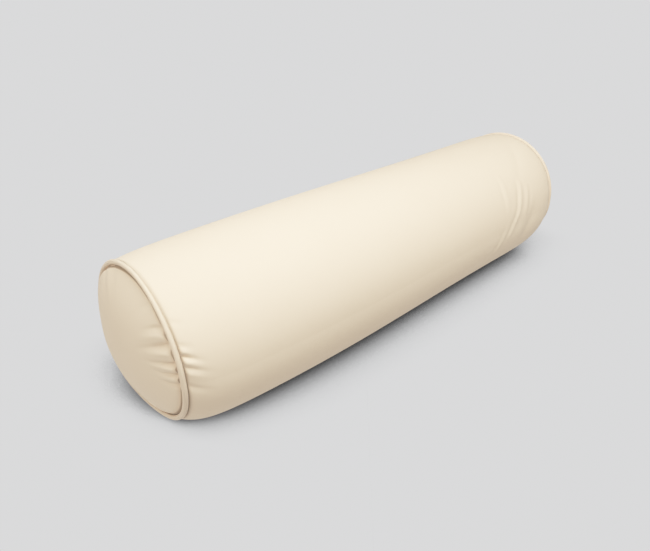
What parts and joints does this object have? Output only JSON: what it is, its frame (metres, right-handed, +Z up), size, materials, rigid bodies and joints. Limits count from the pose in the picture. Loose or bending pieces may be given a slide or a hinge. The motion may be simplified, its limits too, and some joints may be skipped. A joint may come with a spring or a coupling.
{
  "type": "bolster cushion",
  "caption": "Round bolster cushion lying on its side: filled drum with drawn-in, domed ends and self piping in the end seams.",
  "frame": {"origin": "middle of the cushion's footprint, on the surface that it lies on", "axes": "+X along the cushion towards its right end, +Y to its back, +Z up"},
  "size_m": [0.7434, 0.2152, 0.2044],
  "materials": {
    "cover_cotton": "plain cream cotton, matt, smooth close weave",
    "piping_cotton": "the same cream cotton cut on the bias round a cord, matt"
  },
  "bodies": {
    "root": {"drum": "cover_cotton", "end_panel_left": "cover_cotton", "end_panel_right": "cover_cotton", "piping_left": "piping_cotton", "piping_right": "piping_cotton"}
  },
  "joints": []
}
